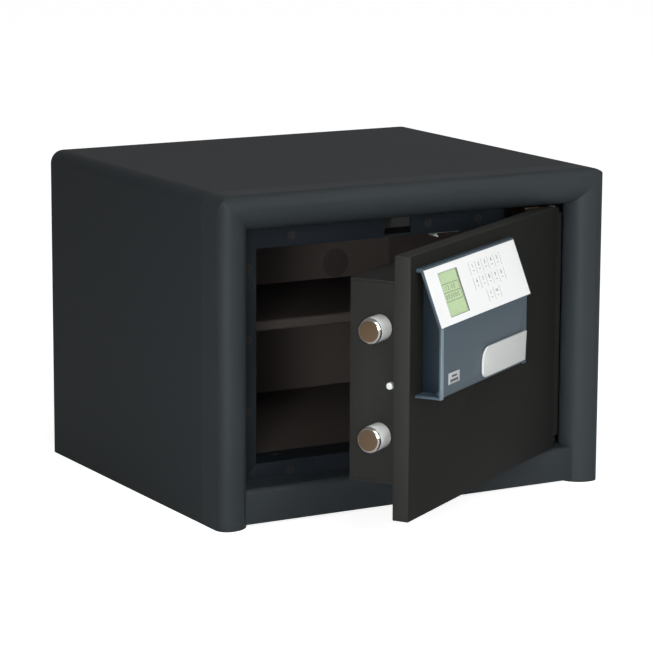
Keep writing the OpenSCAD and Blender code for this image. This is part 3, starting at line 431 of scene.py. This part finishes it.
def slab(x0, x1, y0, y1, z0, z1, place):
    """A closed bar between two corners, set in place by a matrix."""
    bm = bmesh.new()
    bmesh.ops.create_cube(bm, size=1)
    for v in bm.verts:
        v.co = Vector(((x0 + x1) / 2 + v.co.x * (x1 - x0), (y0 + y1) / 2 + v.co.y * (y1 - y0),
                       (z0 + z1) / 2 + v.co.z * (z1 - z0)))
    bm.transform(place)
    mesh = bpy.data.meshes.new("slab")
    bm.to_mesh(mesh)
    bm.free()
    return mesh


def lettered(text, size, place, bold=BOLD, spread=1.0):
    """Raised figures, centred on their place and lying in its XY plane."""
    curve = bpy.data.curves.new("figures", "FONT")
    curve.body = text
    curve.size = size
    curve.extrude = PRINT_T / 2
    curve.offset = size * bold
    curve.space_character = spread
    curve.align_x = "CENTER"
    curve.align_y = "CENTER"
    obj = link(bpy.data.objects.new("figures", curve))
    mesh = evaluated_mesh(obj)
    bpy.data.objects.remove(obj)
    bpy.data.curves.remove(curve)
    mesh.materials.clear()
    mesh.transform(place)
    return mesh


# ---------------------------------------------------------------------------
# Geometry Nodes: a row of equal bars


def bar_row_tree():
    """Bars along X at a pitch, with named sizes, ending in a plain mesh with its material."""
    tree = bpy.data.node_groups.new("bar_row", "GeometryNodeTree")
    face = tree.interface
    face.new_socket("Geometry", in_out="INPUT", socket_type="NodeSocketGeometry")
    for label, kind in (("Count", "NodeSocketInt"), ("Pitch", "NodeSocketFloat"),
                        ("Bar", "NodeSocketVector"), ("Material", "NodeSocketMaterial")):
        face.new_socket(label, in_out="INPUT", socket_type=kind)
    face.new_socket("Geometry", in_out="OUTPUT", socket_type="NodeSocketGeometry")
    n, l = tree.nodes, tree.links
    start = n.new("NodeGroupInput")
    step = n.new("ShaderNodeCombineXYZ")
    l.new(start.outputs["Pitch"], step.inputs["X"])
    line = n.new("GeometryNodeMeshLine")
    l.new(start.outputs["Count"], line.inputs["Count"])
    l.new(step.outputs["Vector"], line.inputs["Offset"])
    bar = n.new("GeometryNodeMeshCube")
    l.new(start.outputs["Bar"], bar.inputs["Size"])
    row = n.new("GeometryNodeInstanceOnPoints")
    l.new(line.outputs["Mesh"], row.inputs["Points"])
    l.new(bar.outputs["Mesh"], row.inputs["Instance"])
    real = n.new("GeometryNodeRealizeInstances")
    l.new(row.outputs["Instances"], real.inputs["Geometry"])
    paint = n.new("GeometryNodeSetMaterial")
    l.new(real.outputs["Geometry"], paint.inputs["Geometry"])
    l.new(start.outputs["Material"], paint.inputs["Material"])
    end = n.new("NodeGroupOutput")
    l.new(paint.outputs["Geometry"], end.inputs["Geometry"])
    return tree


BAR_ROW = bar_row_tree()


def bar_row(count, pitch, bar, material, place):
    """A plain mesh of equal bars, the first one centred on the place."""
    obj = link(bpy.data.objects.new("bars", bpy.data.meshes.new("bars")))
    mod = obj.modifiers.new("bars", "NODES")
    mod.node_group = BAR_ROW
    ids = {i.name: i.identifier for i in BAR_ROW.interface.items_tree if i.in_out == "INPUT"}
    mod[ids["Count"]] = count
    mod[ids["Pitch"]] = pitch
    mod[ids["Bar"]] = bar
    mod[ids["Material"]] = MATERIALS[material]
    mesh = evaluated_mesh(obj)
    bpy.data.objects.remove(obj)
    mesh.transform(place)
    return mesh


# ---------------------------------------------------------------------------
# The cabinet's and the door's metalwork

# Edge radii in millimetres
EDGES = {
    "case_cover": 1.2, "case_caps": 0.6, "housing_base": 0.4, "jamb_top": 0.4,
    "jamb_bottom": 0.4, "jamb_left": 0.4, "jamb_right": 0.4, "front_sill": 0.4, "shelf": 0.3,
    "hinge_brackets": 0.5, "hinge_rail": 0.5, "header_clip": 0.2, "lever": 0.7,
    "catch_pin": 0.5, "badge": 0.1,
}
for node, width in EDGES.items():
    softened(node, width * MM)


FLAT_END = 0.93       # a face this square to the bolt's axis is its turned end
ROUND_SIDE = 0.12     # a face less square than this is the bolt's side
HIGHLIGHT_BAND_OUT = 0.9        # the housing's painted highlight band looks out of the door at least this much
HIGHLIGHT_BAND_SIDE = -0.1      # and to the latch side at least this much
LEAF_FACE = 0.8       # a leaf's face looks along the door's normal at least this much; its other faces get the lighter edge paint, which is painted light


def finish_bolts():
    """Polished bolts, whose near-white colour is a painted reflection, with turned ends of a darker, brownish
    metal.
    """
    bolts = softened("lock_bolts", 0.7 * MM)
    bolts.data.materials.append(MATERIALS["bolt_end"])
    bolts.data.materials.append(MATERIALS["bolt_rim"])
    for face in bolts.data.polygons:
        end_on = -face.normal.dot(ACROSS)
        if end_on > FLAT_END:
            face.material_index = 1
        elif end_on > ROUND_SIDE:
            face.material_index = 2


def finish_housing():
    """The moulded cover, with a painted highlight: a paler band on its slanted latch-side edge."""
    cover = softened("housing_front", 0.35 * MM)
    cover.data.materials.append(MATERIALS["housing_band_highlight"])
    for face in cover.data.polygons:
        if face.normal.dot(OUT) > HIGHLIGHT_BAND_OUT and face.normal.dot(ACROSS) < HIGHLIGHT_BAND_SIDE:
            face.material_index = 1


def finish_door():
    """The leaf, whose turned edges are painted a little lighter than its face: painted light for the light they
    catch from the left.
    """
    leaf = softened("door_skin", 0.8 * MM)
    leaf.data.materials.append(MATERIALS["door_edge_painted_light"])
    for face in leaf.data.polygons:
        if abs(face.normal.dot(OUT)) < LEAF_FACE:
            face.material_index = 1


def finish_caps():
    """The caps on the back wall, close to the lining's colour."""
    caps = softened("anchor_caps", 0.5 * MM)
    caps.data.materials[0] = MATERIALS["cap_paint"]


def finish_surround():
    """The rolled front, sprayed a touch glossier than the case behind it, and a touch lighter in colour as a
    painted highlight along its roll.
    """
    surround = nodes["front_surround"].data
    surround.materials.clear()
    surround.materials.append(MATERIALS["surround_paint_and_highlight"])


finish_bolts()
finish_housing()
finish_door()
finish_caps()
finish_surround()

# ---------------------------------------------------------------------------
# The control panel: keys, figures, display and badge

PRINT_T = 0.06 * MM
FIGURE_SIZE = 5.0 * MM
FIGURE_UP = 2.0 * MM
WORD_SIZE = 3.4 * MM
WORD_UP = 1.8 * MM
MARK_HALF = 1.5 * MM
MARK_LOW = -2.9 * MM
MARK_HIGH = -2.3 * MM
SEPARATOR = (0.45 * MM, 12.0 * MM, PRINT_T)
SEPARATOR_ROWS = (("key_1", 6), ("key_6", 6), ("key_clear", 3))

FIELD_LINE = 0.6 * MM
FIELD_LEFT = 0.8 * MM
FIELD_RIGHT = 2.2 * MM
FIELD_DROPS = (11.2, 19.3, 27.6)
FIELD_TEXTS = ("12:00", "000000")
FIELD_TEXT_SIZE = 6.6 * MM
FIELD_TEXT_SPREAD = 1.5

# Sizes of the dark strips that paint shade on the display's recess walls.
SHADE_LINING_GAP = 0.14 * MM
SHADE_LINING_WIDE = 0.35 * MM
SHADE_LINING_TOP = -0.05 * MM

# Left, right, low and high edge of each bar, in millimetres from the plate's middle
BADGE_BARS = ((-5.5, 5.5, 0.8, 2.6), (-8.5, 8.5, -3.2, -1.2), (-9.8, 9.8, -4.3, -3.9))

KEYS = ["1", "2", "3", "4", "5", "6", "7", "8", "9", "0", "clear", "enter"]
FIGURES = {"clear": "C", "enter": "OK"}
panel_face = span("control_panel", SLOPE_OUT)[1]
key_pitch = middle("key_2", ACROSS) - middle("key_1", ACROSS)


def on_panel(across, up, lift=0.0):
    """A place on the sloping panel, with X along the row, Y up the slope and Z out of it."""
    return axes_matrix(ACROSS, SLOPE_UP, SLOPE_OUT,
                       at(across, up, panel_face + lift, ACROSS, SLOPE_UP, SLOPE_OUT))


def print_keys():
    """A figure and a short mark on each key, which ride on it."""
    for key in KEYS:
        node = "key_" + key
        place = on_panel(middle(node, ACROSS), middle(node, SLOPE_UP),
                         span(node, SLOPE_OUT)[1] - panel_face + PRINT_T / 4)
        figure = FIGURES.get(key, key)
        up = WORD_UP if key in FIGURES else FIGURE_UP
        size = WORD_SIZE if key in FIGURES else FIGURE_SIZE
        parts = [lettered(figure, size, place @ Matrix.Translation((0, up, 0))),
                 slab(-MARK_HALF, MARK_HALF, MARK_LOW, MARK_HIGH, -PRINT_T / 2, PRINT_T / 2,
                      place)]
        finished_piece("print_" + key, joined(parts, "print_" + key), node, "print_grey")


def print_separators():
    """Thin upright lines between the keys of each row."""
    parts = []
    for first, count in SEPARATOR_ROWS:
        place = on_panel(middle(first, ACROSS) - key_pitch / 2, middle(first, SLOPE_UP),
                         PRINT_T / 4)
        parts.append(bar_row(count, key_pitch, SEPARATOR, "print_line", place))
    finished_piece("key_separators", joined(parts, "key_separators"), "door", "print_line")


def print_display():
    """Two framed fields with figures, seen through the display's window."""
    x0, x1 = span("lcd_module", ACROSS)
    top = span("lcd_module", SLOPE_UP)[1]
    lift = span("lcd_module", SLOPE_OUT)[1] - panel_face + PRINT_T / 4
    left = x0 + FIELD_LEFT
    right = x1 - FIELD_RIGHT
    rows = [top - drop * MM for drop in FIELD_DROPS]
    place = on_panel(0, 0, lift)
    half = PRINT_T / 2
    edge = FIELD_LINE / 2
    parts = [slab(left, right, y - edge, y + edge, -half, half, place) for y in rows]
    for x in (left, right):
        parts.append(slab(x - edge, x + edge, rows[2], rows[0], -half, half, place))
    for text, high, low in zip(FIELD_TEXTS, rows, rows[1:]):
        centre = place @ Matrix.Translation(((left + right) / 2, (high + low) / 2, 0))
        parts.append(lettered(text, FIELD_TEXT_SIZE, centre, 0.0, FIELD_TEXT_SPREAD))
    finished_piece("display_marks", joined(parts, "display_marks"), "door", "lcd_ink")


def shade_display_recess():
    """Dark strips lining the inside of the display's opening: painted shade on the walls of its recess."""
    x0, x1 = span("lcd_window", ACROSS)
    y0, y1 = span("lcd_window", SLOPE_UP)
    low = span("lcd_window", SLOPE_OUT)[1] - panel_face
    place = on_panel(0, 0)
    left = x0 - SHADE_LINING_GAP
    right = x1 + SHADE_LINING_GAP
    foot = y0 - SHADE_LINING_GAP
    head = y1 + SHADE_LINING_GAP
    strips = ((left, right, head - SHADE_LINING_WIDE, head), (left, right, foot, foot + SHADE_LINING_WIDE),
              (left, left + SHADE_LINING_WIDE, foot + SHADE_LINING_WIDE, head - SHADE_LINING_WIDE),
              (right - SHADE_LINING_WIDE, right, foot + SHADE_LINING_WIDE, head - SHADE_LINING_WIDE))
    parts = [slab(*strip, low, SHADE_LINING_TOP, place) for strip in strips]
    finished_piece("display_shade_lining", joined(parts, "display_shade_lining"), "door", "dark_plastic")


def mark_badge():
    """Plain dark bars on the small plate, which stand for its lettering."""
    face = span("badge", OUT)[1] + PRINT_T / 4
    place = axes_matrix(ACROSS, UP, OUT, at(middle("badge", ACROSS), face, middle("badge", UP)))
    half = PRINT_T / 2
    parts = [slab(*(edge * MM for edge in bar), -half, half, place) for bar in BADGE_BARS]
    finished_piece("badge_marks", joined(parts, "badge_marks"), "door", "print_grey")


print_keys()
print_separators()
print_display()
shade_display_recess()
mark_badge()
